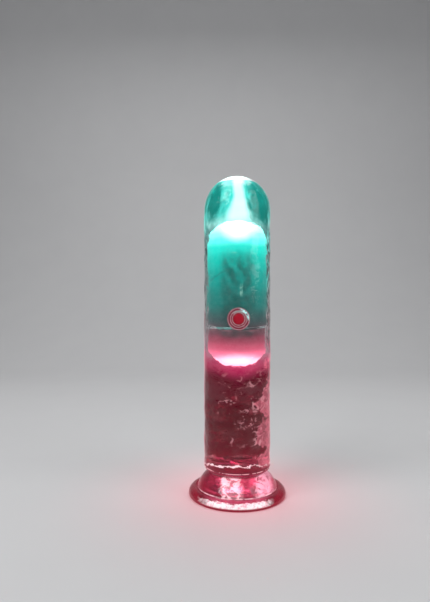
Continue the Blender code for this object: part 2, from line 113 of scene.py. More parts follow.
# Lays a lathe's +Z along -Y at the button's height, so that its heights are distances from the axis
BUTTON_AXIS = Matrix.Translation((0, 0, BUTTON_Z)) @ Matrix.Rotation(math.pi / 2, 4, "X")


# ---------------------------------------------------------------------------------------- shapes


def arc(centre, radii, start, end, steps):
    """Points of an elliptical arc in a (radius, height) profile, with its angles in degrees."""
    points = []
    for step in range(steps + 1):
        angle = math.radians(start + (end - start) * step / steps)
        radius = max(0.0, centre[0] + radii[0] * math.cos(angle))
        points.append((radius, centre[1] + radii[1] * math.sin(angle)))
    return points


def straight(start, end, steps):
    """Points along a line, without its end point."""
    (r0, z0), (r1, z1) = start, end
    return [(r0 + (r1 - r0) * step / steps, z0 + (z1 - z0) * step / steps) for step in range(steps)]


def add_object(name, bm, smooth_angle=SMOOTH_ANGLE):
    """Turns bm into a linked, smooth-shaded object."""
    bmesh.ops.remove_doubles(bm, verts=bm.verts, dist=SAME_POINT)
    bmesh.ops.recalc_face_normals(bm, faces=bm.faces)
    mesh = bpy.data.meshes.new(name)
    bm.to_mesh(mesh)
    bm.free()
    mesh.shade_smooth()
    mesh.set_sharp_from_angle(angle=math.radians(smooth_angle))
    obj = bpy.data.objects.new(name, mesh)
    bpy.context.scene.collection.objects.link(obj)
    return obj


def add_ring(bm, radius, height, sides):
    """A ring of points about Z, or one point if the ring would be on the axis."""
    if radius < SAME_POINT:
        return [bm.verts.new((0, 0, height))]
    ring = []
    for i in range(sides):
        angle = 2 * math.pi * i / sides
        ring.append(bm.verts.new((radius * math.cos(angle), radius * math.sin(angle), height)))
    return ring


def join_rings(bm, first, second):
    """Makes the faces between two rings, either of which may be a single point."""
    if len(first) == 1 and len(second) == 1:
        return
    sides = max(len(first), len(second))
    for i in range(sides):
        j = (i + 1) % sides
        if len(first) == 1:
            bm.faces.new((first[0], second[j], second[i]))
        elif len(second) == 1:
            bm.faces.new((first[i], first[j], second[0]))
        else:
            bm.faces.new((first[i], first[j], second[j], second[i]))


def lathe(name, profile, sides, move=None, warp=None, smooth_angle=SMOOTH_ANGLE):
    """Turns a (radius, height) profile about Z, then warps each point and moves it into place.

    A profile with both ends on the axis is closed there, and any other one is a closed loop.
    """
    bm = bmesh.new()
    rings = [add_ring(bm, radius, height, sides) for radius, height in profile]
    pairs = list(zip(rings, rings[1:]))
    if len(rings[0]) > 1 and len(rings[-1]) > 1:
        pairs.append((rings[-1], rings[0]))
    for first, second in pairs:
        join_rings(bm, first, second)
    if warp:
        for vert in bm.verts:
            vert.co = warp(vert.co)
    if move:
        bm.transform(move)
    return add_object(name, bm, smooth_angle)


def button_rod(name, radius, start, end, sides=64):
    """A cylinder along the button's axis, between two distances from the column's axis."""
    return lathe(name, [(0, start), (radius, start), (radius, end), (0, end)], sides, BUTTON_AXIS)


def boolean(target, cutter, operation="DIFFERENCE"):
    """Applies an exact Boolean and deletes the cutter."""
    modifier = target.modifiers.new(cutter.name, "BOOLEAN")
    modifier.operation = operation
    modifier.solver = "EXACT"
    modifier.object = cutter
    graph = bpy.context.evaluated_depsgraph_get()
    result = bpy.data.meshes.new_from_object(target.evaluated_get(graph))
    target.modifiers.clear()
    target.data = result
    bpy.data.objects.remove(cutter)
    target.data.set_sharp_from_angle(angle=math.radians(SMOOTH_ANGLE))


# --------------------------------------------------------------------------------------- finishes


class Finish:
    """A Principled material with short ways to add nodes to it.

    The patterns further down are placed with them. A plain number there is a place or a size in
    millimetres on the object's own axes, a level of noise, or a share from 0 to 1.
    """

    def __init__(self, name, **values):
        self.material = bpy.data.materials.new(name)
        self.material.use_nodes = True
        self.tree = self.material.node_tree
        self.shader = self.tree.nodes["Principled BSDF"]
        self.place = self.node("ShaderNodeTexCoord").outputs["Object"]
        split = self.node("ShaderNodeSeparateXYZ")
        self.link(self.place, split.inputs[0])
        self.x, self.y, self.z = split.outputs
        for key, value in values.items():
            self.set(key.replace("_", " ").title().replace("Ior", "IOR"), value)

    def node(self, kind, **settings):
        made = self.tree.nodes.new(kind)
        for key, value in settings.items():
            setattr(made, key, value)
        return made

    def link(self, source, target):
        self.tree.links.new(source, target)

    def put(self, socket, value):
        """Links value if it is a socket, and sets it if it is a number or a colour."""
        if isinstance(value, bpy.types.NodeSocket):
            self.link(value, socket)
        elif isinstance(value, tuple) and len(value) == 3 and socket.type == "RGBA":
            socket.default_value = (*value, 1)
        else:
            socket.default_value = value

    def set(self, name, value):
        self.put(self.shader.inputs[name], value)

    def shine(self, colour, strength=1.0):
        """Gives the surface a light of its own."""
        self.set("Emission Color", colour)
        self.set("Emission Strength", strength)

    def math(self, operation, a, b=0.0):
        made = self.node("ShaderNodeMath", operation=operation)
        self.put(made.inputs[0], a)
        self.put(made.inputs[1], b)
        return made.outputs[0]

    def plus(self, a, b):
        return self.math("ADD", a, b)

    def minus(self, a, b):
        return self.math("SUBTRACT", a, b)

    def times(self, product, *factors):
        for factor in factors:
            product = self.math("MULTIPLY", product, factor)
        return product

    def away(self, value, middle):
        """How far value is from middle, on either side."""
        return self.math("ABSOLUTE", self.minus(value, middle))

    def centred(self, field, size):
        """A noise field made to swing from about -size / 2 to size / 2."""
        return self.times(self.minus(field, 0.5), size)

    def reach(self, first, second):
        """The length of a vector with these two parts."""
        flat = self.node("ShaderNodeCombineXYZ")
        self.put(flat.inputs[0], first)
        self.put(flat.inputs[1], second)
        length = self.node("ShaderNodeVectorMath", operation="LENGTH")
        self.link(flat.outputs[0], length.inputs[0])
        return length.outputs["Value"]

    def span(self, value, low, high, to_low=0.0, to_high=1.0, smooth=True):
        """Value from low to high becomes to_low to to_high, and stays within them."""
        made = self.node("ShaderNodeMapRange", clamp=True)
        made.interpolation_type = "SMOOTHSTEP" if smooth else "LINEAR"
        for socket, number in zip(made.inputs, (value, low, high, to_low, to_high)):
            self.put(socket, number)
        return made.outputs[0]

    def span_mm(self, value, low, high, to_low=0.0, to_high=1.0):
        """A span whose low and high are millimetres."""
        return self.span(value, low * MM, high * MM, to_low, to_high)

    def window(self, value, rise, fall):
        """Goes up from 0 to 1 over one range of millimetres, and down again over the other."""
        return self.times(self.span_mm(value, *rise), self.span_mm(value, fall[1], fall[0]))

    def band(self, value, middle, half_width, soft):
        """1 near middle, and 0 beyond half_width from it, in millimetres."""
        outer = half_width * MM
        return self.span(self.away(value, middle * MM), outer - soft * MM, outer, 1.0, 0.0)

    def noise(self, size, detail=3.0, stretch=(1, 1, 1), roughness=0.55, distortion=0.0):
        """Noise whose features are about size millimetres, stretched along each axis."""
        scaled = self.node("ShaderNodeMapping")
        self.link(self.place, scaled.inputs["Vector"])
        scaled.inputs["Scale"].default_value = [1 / (size * MM * s) for s in stretch]
        made = self.node("ShaderNodeTexNoise")
        self.link(scaled.outputs[0], made.inputs["Vector"])
        made.inputs["Scale"].default_value = 1.0
        made.inputs["Detail"].default_value = detail
        made.inputs["Roughness"].default_value = roughness
        made.inputs["Distortion"].default_value = distortion
        return made.outputs["Fac"]

    def mix(self, factor, a, b):
        made = self.node("ShaderNodeMix", data_type="RGBA")
        self.put(made.inputs["Factor"], factor)
        self.put(made.inputs[6], a)
        self.put(made.inputs[7], b)
        return made.outputs[2]

    def layered(self, base, *layers):
        """Lays each (colour, share, where) over the ones before it."""
        for colour, share, where in layers:
            base = self.mix(self.times(where, share), base, colour)
        return base

    def ramp(self, along, stops):
        """A colour for each place along an axis, from (millimetres, colour) stops in rising order."""
        low, high = stops[0][0] * MM, stops[-1][0] * MM
        made = self.node("ShaderNodeValToRGB")
        made.color_ramp.interpolation = "EASE"
        marks = made.color_ramp.elements
        while len(marks) < len(stops):
            marks.new(0.5)
        for mark, (at, colour) in zip(marks, stops):
            mark.position = (at * MM - low) / (high - low)
            mark.color = (*colour, 1)
        self.link(self.span(along, low, high, smooth=False), made.inputs["Fac"])
        return made.outputs["Color"]

    def bump(self, height, distance, strength=1.0, under=None):
        """A normal bent by a height field, with the field's depth in millimetres."""
        made = self.node("ShaderNodeBump")
        made.inputs["Distance"].default_value = distance * MM
        made.inputs["Strength"].default_value = strength
        self.link(height, made.inputs["Height"])
        if under is not None:
            self.link(under, made.inputs["Normal"])
        return made.outputs["Normal"]

    def done(self, obj):
        obj.data.materials.clear()
        obj.data.materials.append(self.material)
        return obj


def mottled(name, colour, spread=0.12, size=1.2, **values):
    """A plain finish whose colour and surface vary a little, as a moulded or painted piece does.

    The spots are about size millimetres wide.
    """
    grain = 0.02
    made = Finish(name, **values)
    darker = tuple(c * (1 - spread) for c in colour)
    lighter = tuple(min(1.0, c * (1 + spread)) for c in colour)
    made.set("Base Color", made.mix(made.noise(size, detail=4), darker, lighter))
    made.set("Normal", made.bump(made.noise(size / 4), grain))
    return made


# ----------------------------------------------------------------------------------- column's shape


def faded(value, start, length):
    """0 up to start, and 1 from start + length on."""
    return min(1.0, max(0.0, (value - start) / length))


def ripple(point):
    """Gentle waves in the cast surface, which fade out at the dome's top, the foot and the button."""
    radius = math.hypot(point.x, point.y)
    if radius < 10 * SAME_POINT:
        return point
    base_fade, top_fade = 6 * MM, 14 * MM
    button_clear, button_fade = 8 * MM, 5 * MM
    share = faded(point.z, BASE + COLUMN_EDGE, base_fade) * faded(TOP - point.z, 0.0, top_fade)
    if point.y < 0:
        share *= faded(math.hypot(point.x, point.z - BUTTON_Z), button_clear, button_fade)
    where = Vector((point.x / RIPPLE_SIZE, point.y / RIPPLE_SIZE, point.z / RIPPLE_HEIGHT))
    wave = noise.noise(where) + FINE_RIPPLE * noise.noise(where * FINER_BY + FINE_OFFSET)
    scale = 1 + share * RIPPLE_DEPTH * (wave - RIPPLE_MEAN) / radius
    return Vector((point.x * scale, point.y * scale, point.z))


def capsule_profile(offset):
    """The capsule's two domes, each from its lower end to its upper one, grown by offset."""
    radii = (CAPSULE_R + offset, CAPSULE_DOME + offset)
    lower = arc((0, CAPSULE_BOTTOM + CAPSULE_DOME), radii, -90, 0, 24)
    upper = arc((0, CAPSULE_TOP - CAPSULE_DOME), radii, 0, 90, 24)
    return lower, upper


def column_profile():
    """The column's outline, from the socket for the foot's spigot round to the top of the dome."""
    bore = SPIGOT_RADIUS - BITE
    edge_r = COLUMN_R - COLUMN_EDGE
    dome_base = TOP - DOME_HEIGHT
    profile = [(0, foot_hi.z), (bore, foot_hi.z), (bore, BASE)]
    profile += straight((SPIGOT_RADIUS + MM, BASE), (edge_r, BASE), 10)
    profile += arc((edge_r, BASE + COLUMN_EDGE), (COLUMN_EDGE, COLUMN_EDGE), -90, 0, 10)
    profile += straight(profile[-1], (COLUMN_R, dome_base), 150)[1:]
    return profile + arc((0, dome_base), (COLUMN_R, DOME_HEIGHT), 0, 90, 44)


def make_column():
    """The gel body, with recesses for the capsule, its boss and the button's gland."""
    column = lathe("gel_column", column_profile(), 180, warp=ripple)
    lower, upper = capsule_profile(-BITE)
    boss_face = -seal_hi.y - CAD_GAP
    outside = COLUMN_R + 3 * MM
    boolean(column, lathe("recess", lower + upper, 96))
    boolean(column, button_rod("boss_recess", BOSS_RADIUS - BITE, CAPSULE_R - 2 * MM, boss_face))
    boolean(column, button_rod("gland_port", GLAND_R - BITE, boss_face - BITE, outside))
    boolean(column, button_rod("flange_recess", FLANGE_R - BITE, FLANGE_BACK + BITE, outside))
    return column


# ---------------------------------------------------------------------------------- column's finish

# The gel's painted light tint and painted glow, by height in millimetres
GEL_PAINTED_TINT = (
    (16, (0.17, 0.002, 0.012)),
    (45, (0.09, 0.000, 0.003)),
    (74, (0.12, 0.000, 0.005)),
    (80, (0.30, 0.020, 0.060)),
    (92, (0.80, 0.62, 0.68)),
    (112, (0.86, 0.90, 0.90)),
    (150, (0.74, 0.93, 0.91)),
    (164, (0.45, 0.88, 0.85)),
    (173, (0.006, 0.40, 0.34)),
    (200, (0.002, 0.30, 0.25)),
)
GEL_GLOW = (
    (16, (0.10, 0.005, 0.018)),
    (26, (0.030, 0.000, 0.003)),
    (50, (0.022, 0.000, 0.002)),
    (74, (0.034, 0.000, 0.006)),
    (82, (0.110, 0.006, 0.028)),
    (92, (0.020, 0.003, 0.007)),
    (108, (0.0, 0.0, 0.0)),
    (156, (0.0, 0.005, 0.005)),
    (172, (0.0, 0.045, 0.038)),
    (182, (0.0, 0.085, 0.072)),
    (200, (0.0, 0.11, 0.095)),
)
# Colours of the painted highlights in the right sliver, by height in millimetres
SLIVER_GLINT_COLOURS = (
    (95, (0.34, 0.08, 0.11)),
    (118, (0.28, 0.14, 0.15)),
    (140, (0.05, 0.42, 0.38)),
)


def right_sliver(gel):
    """The clear gel to the right of the capsule, on its front."""
    across = gel.span_mm(gel.x, 16.6, 18.2)
    return gel.times(across, gel.window(gel.z, (88, 98), (160, 170)), gel.span_mm(gel.y, -1, -5))


def gel_painted_tint(gel, sliver):
    """The gel's painted light tint, with a faint cloud in it and painted dark shade specks in the right
    sliver.
    """
    cloud = gel.span(gel.noise(7, detail=4, stretch=(1.6, 1.6, 1)), 0.4, 0.8, 0.0, 0.05)
    tint = gel.mix(cloud, gel.ramp(gel.z, GEL_PAINTED_TINT), (0.97, 0.93, 0.95))
    shade_speck = gel.span(gel.noise(3.2, detail=3, stretch=(1, 1, 1.8), distortion=1.2), 0.42, 0.56)
    return gel.mix(gel.times(sliver, shade_speck), tint, (0.03, 0.06, 0.06))


def lower_strip(gel, ragged, wobble):
    """The ragged strip of light up the lower column's right side, which narrows at its top."""
    edge = gel.plus(gel.x, gel.plus(wobble, gel.centred(ragged, 7 * MM)))
    edge = gel.minus(edge, gel.span_mm(gel.z, 55, 80, 0.0, 4.5 * MM))
    patchy = gel.span(ragged, 0.35, 0.62, 0.45, 1.0)
    tall = gel.window(gel.z, (19, 22), (82, 94))
    return gel.times(gel.span_mm(edge, 13.0, 14.6), tall, patchy, gel.span_mm(gel.y, 4, -2))


def lower_highlight_streaks(gel, ragged, slow):
    """Loose painted highlight streaks in the lower column, but none near its left side."""
    highlight_streaks = gel.times(gel.span(ragged, 0.52, 0.62), gel.span(slow, 0.50, 0.57))
    return gel.times(highlight_streaks, gel.window(gel.z, (22, 28), (70, 84)), gel.span_mm(gel.x, -15, -10))


def sliver_glints(gel, sliver):
    """Small painted highlights among the painted dark specks of the right sliver."""
    return gel.times(gel.span(gel.noise(2.4, detail=3, stretch=(1, 1, 1.6)), 0.51, 0.60), sliver)


def red_halo(gel, from_axis):
    """The red light's halo on the outer skin, round the capsule's lower end."""
    flattened = gel.reach(gel.times(gel.x, 0.6), gel.minus(gel.z, 82 * MM))
    return gel.times(gel.span_mm(flattened, 10, 2), gel.span_mm(from_axis, 20, 20.5))


def left_edge_highlight(gel):
    """A pale painted highlight line up the lower column's left edge, which fades out beside the capsule."""
    return gel.times(gel.span_mm(gel.x, -20.1, -20.9), gel.span_mm(gel.z, 120, 80))


def bottom_edge_highlight(gel):
    """The bright bottom edge as a painted highlight: a wavy line that is thick in some places and fine in
    others.

    It lies higher at the front, because a level line would look too low there from close up.
    """
    wave = gel.centred(gel.noise(5, detail=6, roughness=0.65), 5.0 * MM)
    frontness = gel.math("MAXIMUM", gel.times(gel.y, -1 / COLUMN_R), 0.0)
    height = gel.minus(gel.plus(gel.z, wave), gel.times(frontness, 3.6 * MM))
    thickness = gel.span(gel.noise(3.2, detail=4), 0.36, 0.64, 0.15 * MM, 1.05 * MM)
    line = gel.span(gel.math("DIVIDE", gel.away(height, 19.6 * MM), thickness), 1.0, 0.4)
    return gel.times(line, gel.span_mm(gel.x, 17, 4, 0.35, 1.0), gel.span_mm(gel.x, -20.5, -16, 0.3, 1.0))


def fine_edge_highlight(gel, ragged):
    """A finer, broken painted highlight line under the bright one."""
    return gel.times(gel.band(gel.z, 18.5, 0.32, 0.2), gel.span(ragged, 0.42, 0.5))


def dome_beam(gel, wobble):
    """The bright beam in the dome over the capsule, which narrows upwards."""
    across = gel.math("ABSOLUTE", gel.plus(gel.x, gel.times(wobble, 0.15)))
    half_width = gel.span_mm(gel.z, 169, 186, 9.5 * MM, 4.4 * MM)
    beam = gel.span(gel.math("DIVIDE", across, half_width), 1.0, 0.35)
    return gel.times(beam, gel.span_mm(gel.z, 166, 173))


def gel_light(gel, from_axis, sliver):
    """The light in the gel: its glow by height, with each pattern laid over it."""
    ragged = gel.noise(4.2, detail=5, stretch=(1.3, 1.3, 1.0), roughness=0.6, distortion=1.6)
    slow = gel.noise(11, detail=2, stretch=(1.2, 1.2, 1.0))
    wobble = gel.centred(slow, 22 * MM)
    return gel.layered(
        gel.ramp(gel.z, GEL_GLOW),
        ((0.46, 0.105, 0.15), 0.9, lower_strip(gel, ragged, wobble)),
        ((0.48, 0.22, 0.25), 0.7, lower_highlight_streaks(gel, ragged, slow)),
        (gel.ramp(gel.z, SLIVER_GLINT_COLOURS), 0.7, sliver_glints(gel, sliver)),
        ((0.40, 0.025, 0.10), 0.6, red_halo(gel, from_axis)),
        ((0.62, 0.30, 0.36), 0.5, left_edge_highlight(gel)),
        ((1.0, 0.74, 0.79), 0.95, bottom_edge_highlight(gel)),
        ((0.95, 0.55, 0.62), 0.8, fine_edge_highlight(gel, ragged)),
        ((0.80, 1.0, 0.97), 0.9, dome_beam(gel, wobble)),
    )


def gel_finish():
    """Clear gel that carries the teal light of the top and the red light of the bottom.

    Only the outer skin has a colour and a light. The faces cast against the capsule and the foot are
    plain and clear, and so is the very top of the dome, which is as near to the axis as they are.
    """
    gel = Finish("column_gel_lit", roughness=0.03, ior=1.42, transmission_weight=1.0)
    from_axis = gel.reach(gel.x, gel.y)
    skin = gel.times(gel.span_mm(from_axis, 12.9, 13.2), gel.span_mm(gel.z, 16.25, 16.5))
    sliver = right_sliver(gel)
    gel.set("Base Color", gel.mix(skin, (1, 1, 1), gel_painted_tint(gel, sliver)))
    gel.shine(gel.mix(skin, (0, 0, 0), gel_light(gel, from_axis, sliver)))
    broad = gel.bump(gel.noise(4.5, detail=3, stretch=(1.5, 1.5, 1), distortion=0.5), 0.5, 0.8)
    gel.set("Normal", gel.bump(gel.noise(1.1, detail=3), 0.03, 0.6, under=broad))
    return gel


# -------------------------------------------------------------------------------------------- foot

# The foot's painted red light tint and painted glow, by height in millimetres
FOOT_PAINTED_TINT = (
    (0, (0.12, 0.004, 0.014)),
    (15, (0.16, 0.007, 0.022)),
    (16.1, (1, 1, 1)),
)
FOOT_GLOW = (
    (0, (0.05, 0.001, 0.006)),
    (1.2, (0.10, 0.004, 0.014)),
    (4.0, (0.08, 0.005, 0.015)),
    (14.5, (0.06, 0.003, 0.011)),
    (16.1, (0.0, 0.0, 0.0)),
)


def make_foot():
    """The flange, the round bowl over it, the neck, and the spigot that goes up into the column."""
    edge = 0.9 * MM
    flange_width = 4.7 * MM
    flange_centre = (foot_hi.x - flange_width, 1.2 * MM)
    flange_size = (flange_width, 3.9 * MM)
    groove_centre = (25.75 * MM, 5.2 * MM)
    groove_size = (0.35 * MM, 0.45 * MM)
    bowl_centre = (7.0 * MM, -1.0 * MM)
    bowl_size = (19.2 * MM, 19.2 * MM)
    neck_base = 14.7 * MM
    neck_top = BASE + BITE
    spigot_top = foot_hi.z + BITE
    profile = arc((0, 0), (CAVITY_RADIUS, CAVITY_DEPTH), 90, 0, 32)
    profile += straight((CAVITY_RADIUS + 0.5 * MM, 0), (foot_hi.x - edge, 0), 3)
    profile += arc((foot_hi.x - edge, edge), (edge, edge), -90, 0, 8)
    profile += arc(flange_centre, flange_size, 0, 88, 20)
    profile += arc(groove_centre, groove_size, -40, -150, 5)
    profile += arc(bowl_centre, bowl_size, 19.5, 53.5, 30)
    profile += [(NECK_RADIUS, neck_base), (NECK_RADIUS, neck_top), (SPIGOT_RADIUS, neck_top)]
    profile += [(SPIGOT_RADIUS, spigot_top), (0, spigot_top)]
    return lathe("gel_foot", profile, 180)


def bowl_light_patches(gel, ragged, place, front):
    """The bowl's painted light: a dim area of painted shade, a bright patch at the right, and one left of
    the middle.
    """
    in_bowl = gel.times(gel.window(gel.z, (4.9, 6.2), (14.4, 15.8)), front)
    dim = gel.times(gel.span_mm(place, -12, -4, 0.05, 0.5), gel.span(ragged, 0.38, 0.60, 0.3, 1.0))
    right = gel.times(gel.band(place, 16.5, 7.5, 5), gel.span(ragged, 0.38, 0.56, 0.4, 1.0))
    left = gel.times(gel.band(place, -4, 7.5, 3.5), gel.span(ragged, 0.44, 0.54, 0.2, 1.0))
    return (
        ((0.46, 0.05, 0.10), 1.0, gel.times(dim, in_bowl)),
        ((0.98, 0.50, 0.64), 0.95, gel.times(right, in_bowl)),
        ((1.0, 0.70, 0.76), 0.95, gel.times(left, in_bowl)),
    )


def flange_light(gel, ragged, place):
    """The flange's front, white-hot, with a ragged upper edge."""
    top_edge = gel.plus(gel.z, gel.centred(ragged, 3.0 * MM))
    high = gel.times(gel.span_mm(top_edge, 4.5, 3.9), gel.span_mm(gel.z, 1.2, 2.2))
    wide = gel.span_mm(gel.away(place, -2 * MM), 24, 15)
    hot = gel.mix(gel.span(gel.noise(1.6, detail=4), 0.34, 0.54), (0.92, 0.44, 0.54), (1.0, 0.92, 0.95))
    return hot, 1.0, gel.times(high, wide, gel.span_mm(gel.y, -12, -22))


def crease_light(gel, front):
    """The broken line of light in the crease between the flange and the bowl."""
    crease = gel.times(gel.band(gel.z, 5.5, 0.42, 0.3), gel.span(front, 0.5, 1.0))
    broken = gel.span(gel.noise(4, detail=3), 0.40, 0.56, 0.15, 1.0)
    return (1.0, 0.60, 0.68), 0.8, gel.times(crease, broken)


def foot_finish():
    """Clear gel lit red through the column: white-pink on the flange's front, patchy in the bowl."""
    gel = Finish("foot_gel_lit", roughness=0.035, ior=1.42, transmission_weight=1.0)
    gel.set("Base Color", gel.ramp(gel.z, FOOT_PAINTED_TINT))
    ragged = gel.noise(5, detail=5, stretch=(1.3, 1.3, 0.8), roughness=0.62, distortion=1.4)
    place = gel.plus(gel.x, gel.centred(ragged, 14 * MM))
    front = gel.span_mm(gel.y, 8, -20, 0.12, 1.0)
    light = gel.layered(
        gel.ramp(gel.z, FOOT_GLOW),
        *bowl_light_patches(gel, ragged, place, front),
        flange_light(gel, ragged, place),
        crease_light(gel, front),
    )
    gel.shine(light)
    gel.set("Normal", gel.bump(gel.noise(4, detail=3), 0.3, 0.6))
    return gel


# ----------------------------------------------------------------------------------------- capsule

# The frosted plastic's painted light tint and painted glow, by height in millimetres
SHELL_PAINTED_TINT = (
    (80.6, (0.60, 0.16, 0.26)),
    (97, (0.28, 0.07, 0.10)),
    (106, (0.12, 0.13, 0.14)),
    (120, (0.02, 0.17, 0.15)),
    (174, (0.005, 0.42, 0.36)),
)
SHELL_GLOW = (
    (80.6, (0.85, 0.50, 0.62)),
    (84, (0.62, 0.26, 0.36)),
    (88, (0.38, 0.105, 0.165)),
    (93, (0.19, 0.040, 0.065)),
    (98, (0.090, 0.021, 0.033)),
    (102, (0.042, 0.018, 0.023)),
    (105, (0.026, 0.018, 0.021)),
    (110, (0.009, 0.026, 0.026)),
    (122, (0.003, 0.065, 0.058)),
    (136, (0.001, 0.115, 0.100)),
    (147, (0.001, 0.190, 0.160)),
    (154, (0.008, 0.270, 0.230)),
    (158, (0.075, 0.400, 0.360)),
    (162, (0.22, 0.62, 0.58)),
    (166, (0.45, 0.88, 0.84)),
    (171.6, (1.0, 1.0, 1.0)),
)


def make_upper_shell():
    """The upper shell, with a boss for the button and a thinner lap inside the lower shell's rim."""
    outside = capsule_profile(0)[1]
    inside = capsule_profile(-CAPSULE_WALL)[1]
    shoulder = gasket_hi.z + CAD_GAP
    side_end = (CAPSULE_R, shoulder + RIM_ROUND)
    profile = outside[::-1] + straight(outside[0], side_end, 40)[1:]
    profile += arc((CAPSULE_R - RIM_ROUND, side_end[1]), (RIM_ROUND, RIM_ROUND), 0, -90, 3)
    profile += [(LAP_R, shoulder), (LAP_R, shell_lo.z), (CAPSULE_INNER_R, shell_lo.z)]
    shell = lathe("frosted_upper", profile + inside, 128)
    boss_face = -seal_hi.y
    boss_root = CAPSULE_INNER_R + 0.1 * MM
    port_start = 8 * MM
    boolean(shell, button_rod("boss", BOSS_RADIUS, boss_root, boss_face), "UNION")
    boolean(shell, button_rod("port", PORT_RADIUS, port_start, boss_face + MM, 48))
    return shell


def make_lower_shell():
    """The lower shell, whose rim is thinner where it goes round the upper shell's lap."""
    outside = capsule_profile(0)[0]
    inside = capsule_profile(-CAPSULE_WALL)[0]
    rim = low_shell_hi.z
    side_end = (CAPSULE_R, rim - RIM_ROUND)
    lap_r = LAP_R + CAD_GAP
    lap_floor = shell_lo.z - CAD_GAP
    profile = outside + straight(outside[-1], side_end, 12)[1:]
    profile += arc((CAPSULE_R - RIM_ROUND, side_end[1]), (RIM_ROUND, RIM_ROUND), 0, 90, 3)
    profile += [(lap_r, rim), (lap_r, lap_floor), (CAPSULE_INNER_R, lap_floor)]
    return lathe("frosted_lower", profile + inside[::-1], 128)


def make_gasket():
    """The gasket, as a round bead that fills the seam and stands out of it by a hair."""
    middle = (gasket_lo.z + gasket_hi.z) / 2
    half = (gasket_hi.z - gasket_lo.z) / 2 + CAD_GAP
    inner_r = LAP_R + 0.01 * MM
    proud = 0.02 * MM
    bead = arc((CAPSULE_R - half, middle), (half + proud, half), -90, 90, 10)
    return lathe("gasket_bead", bead + [(inner_r, middle + half), (inner_r, middle - half)], 128)


def works_shadow(shell):
    """The blurred shadow of the works, up the middle of the capsule."""
    across = shell.span_mm(shell.math("ABSOLUTE", shell.x), 11.0, 6.5)
    blotches = shell.span(shell.noise(4.5, detail=2, stretch=(0.9, 0.9, 1.5)), 0.3, 0.65, 0.25, 0.85)
    shadow = shell.times(across, shell.window(shell.z, (97, 101), (143, 156)), blotches)
    return (0.003, 0.015, 0.014), 1.0, shadow


def lead_shadow(shell):
    """The faint curved shadow of a lead, at the left of the works."""
    curve = shell.math("POWER", shell.times(shell.plus(shell.x, 6.5 * MM), 1 / MM), 2.0)
    height = shell.plus(shell.z, shell.times(curve, 0.13 * MM))
    line = shell.times(shell.band(height, 139.5, 1.1, 0.8), shell.span_mm(shell.x, -5.5, -7.5))
    return (0.002, 0.030, 0.028), 0.55, shell.times(line, shell.span_mm(shell.y, 2, -2))


def glint(shell, x, half_width, z, half_height, share):
    """A small glint of the works through the front, as a dash in millimetres with broken edges."""
    dash = shell.times(
        shell.band(shell.x, x, half_width, 0.6 * half_width),
        shell.band(shell.z, z, half_height, 0.6 * half_height),
        shell.span_mm(shell.y, 0, -4),
        shell.span(shell.noise(1.5, detail=3), 0.40, 0.58, 0.15, 1.0),
    )
    return (0.12, 0.20, 0.17), share, dash


def lip_line(shell):
    """A faint second line under the seam, where the lower shell's rim catches the red light."""
    broken = shell.span(shell.noise(5), 0.35, 0.6)
    return (0.12, 0.045, 0.055), 0.6, shell.times(shell.band(shell.z, 103.4, 0.5, 0.35), broken)


def hot_spot(shell, z, width, reach, colour):
    """The white-hot middle next to a light, in millimetres and wider than high by width."""
    near = shell.reach(shell.math("DIVIDE", shell.x, width), shell.minus(shell.z, z * MM))
    return colour, 1.0, shell.span_mm(near, reach, 0.25 * reach)


def shell_finish():
    """Frosted plastic lit from inside: white-hot at each end, with the works' shadow between."""
    shell = Finish("frosted_lit", roughness=0.42, transmission_weight=0.42, ior=1.46)
    clouds = shell.span(shell.noise(3), 0.3, 0.7, 0.0, 0.06)
    shell.set("Base Color", shell.mix(clouds, shell.ramp(shell.z, SHELL_PAINTED_TINT), (0.6, 0.65, 0.65)))
    light = shell.layered(
        shell.ramp(shell.z, SHELL_GLOW),
        works_shadow(shell),
        lead_shadow(shell),
        glint(shell, 1.7, 1.0, 128.0, 4.4, share=0.7),
        glint(shell, -2.7, 2.6, 150.6, 0.6, share=0.5),
        lip_line(shell),
        hot_spot(shell, 167.5, 1.0, 12.0, (1.0, 1.0, 1.0)),
        hot_spot(shell, 80.5, 1.75, 10.5, (1.0, 0.80, 0.88)),
    )
    shell.shine(light, 2.2)
    shell.set("Normal", shell.bump(shell.noise(0.5), 0.02))
    return shell


def gasket_finish():
    """Grey rubber that catches the teal light in places."""
    grey = mottled("gasket_grey", (0.16, 0.17, 0.175), roughness=0.55)
    dashes = grey.span(grey.noise(6), 0.4, 0.62)
    grey.shine(grey.mix(dashes, (0.05, 0.055, 0.06), (0.16, 0.45, 0.42)), 0.6)
    return grey


# --------------------------------------------------------------------------------- gland and button


def make_gland():
    """The clear gland, with three concentric rings on its face."""
    back, face = -gland_hi.y - 2 * BITE, -gland_lo.y
    collar_bore = 4.3 * MM
    face_bore = 3.4 * MM
    shoulder = face - 2.6 * MM
    lip = face - 0.35 * MM
    edge = 0.4 * MM
    groove = (0.22 * MM, 0.45 * MM)
    ridge = (0.16 * MM, 0.12 * MM)
    ridge_inset = 0.42 * MM
    profile = [(collar_bore, back), (GLAND_R, back), (GLAND_R, FLANGE_BACK), (FLANGE_R, FLANGE_BACK)]
    profile += arc((FLANGE_R - edge, face - edge), (edge, edge), 0, 90, 6)
    for ring_r in (5.95 * MM, 4.95 * MM, 4.1 * MM):
        profile += arc((ring_r, face), groove, 0, -180, 8)
        profile += arc((ring_r - ridge_inset, face - ridge[1]), ridge, 40, 140, 4)
    profile += [(face_bore, lip), (face_bore, shoulder), (collar_bore, shoulder)]
    return lathe("ringed_gland", profile, 128, BUTTON_AXIS, smooth_angle=50)


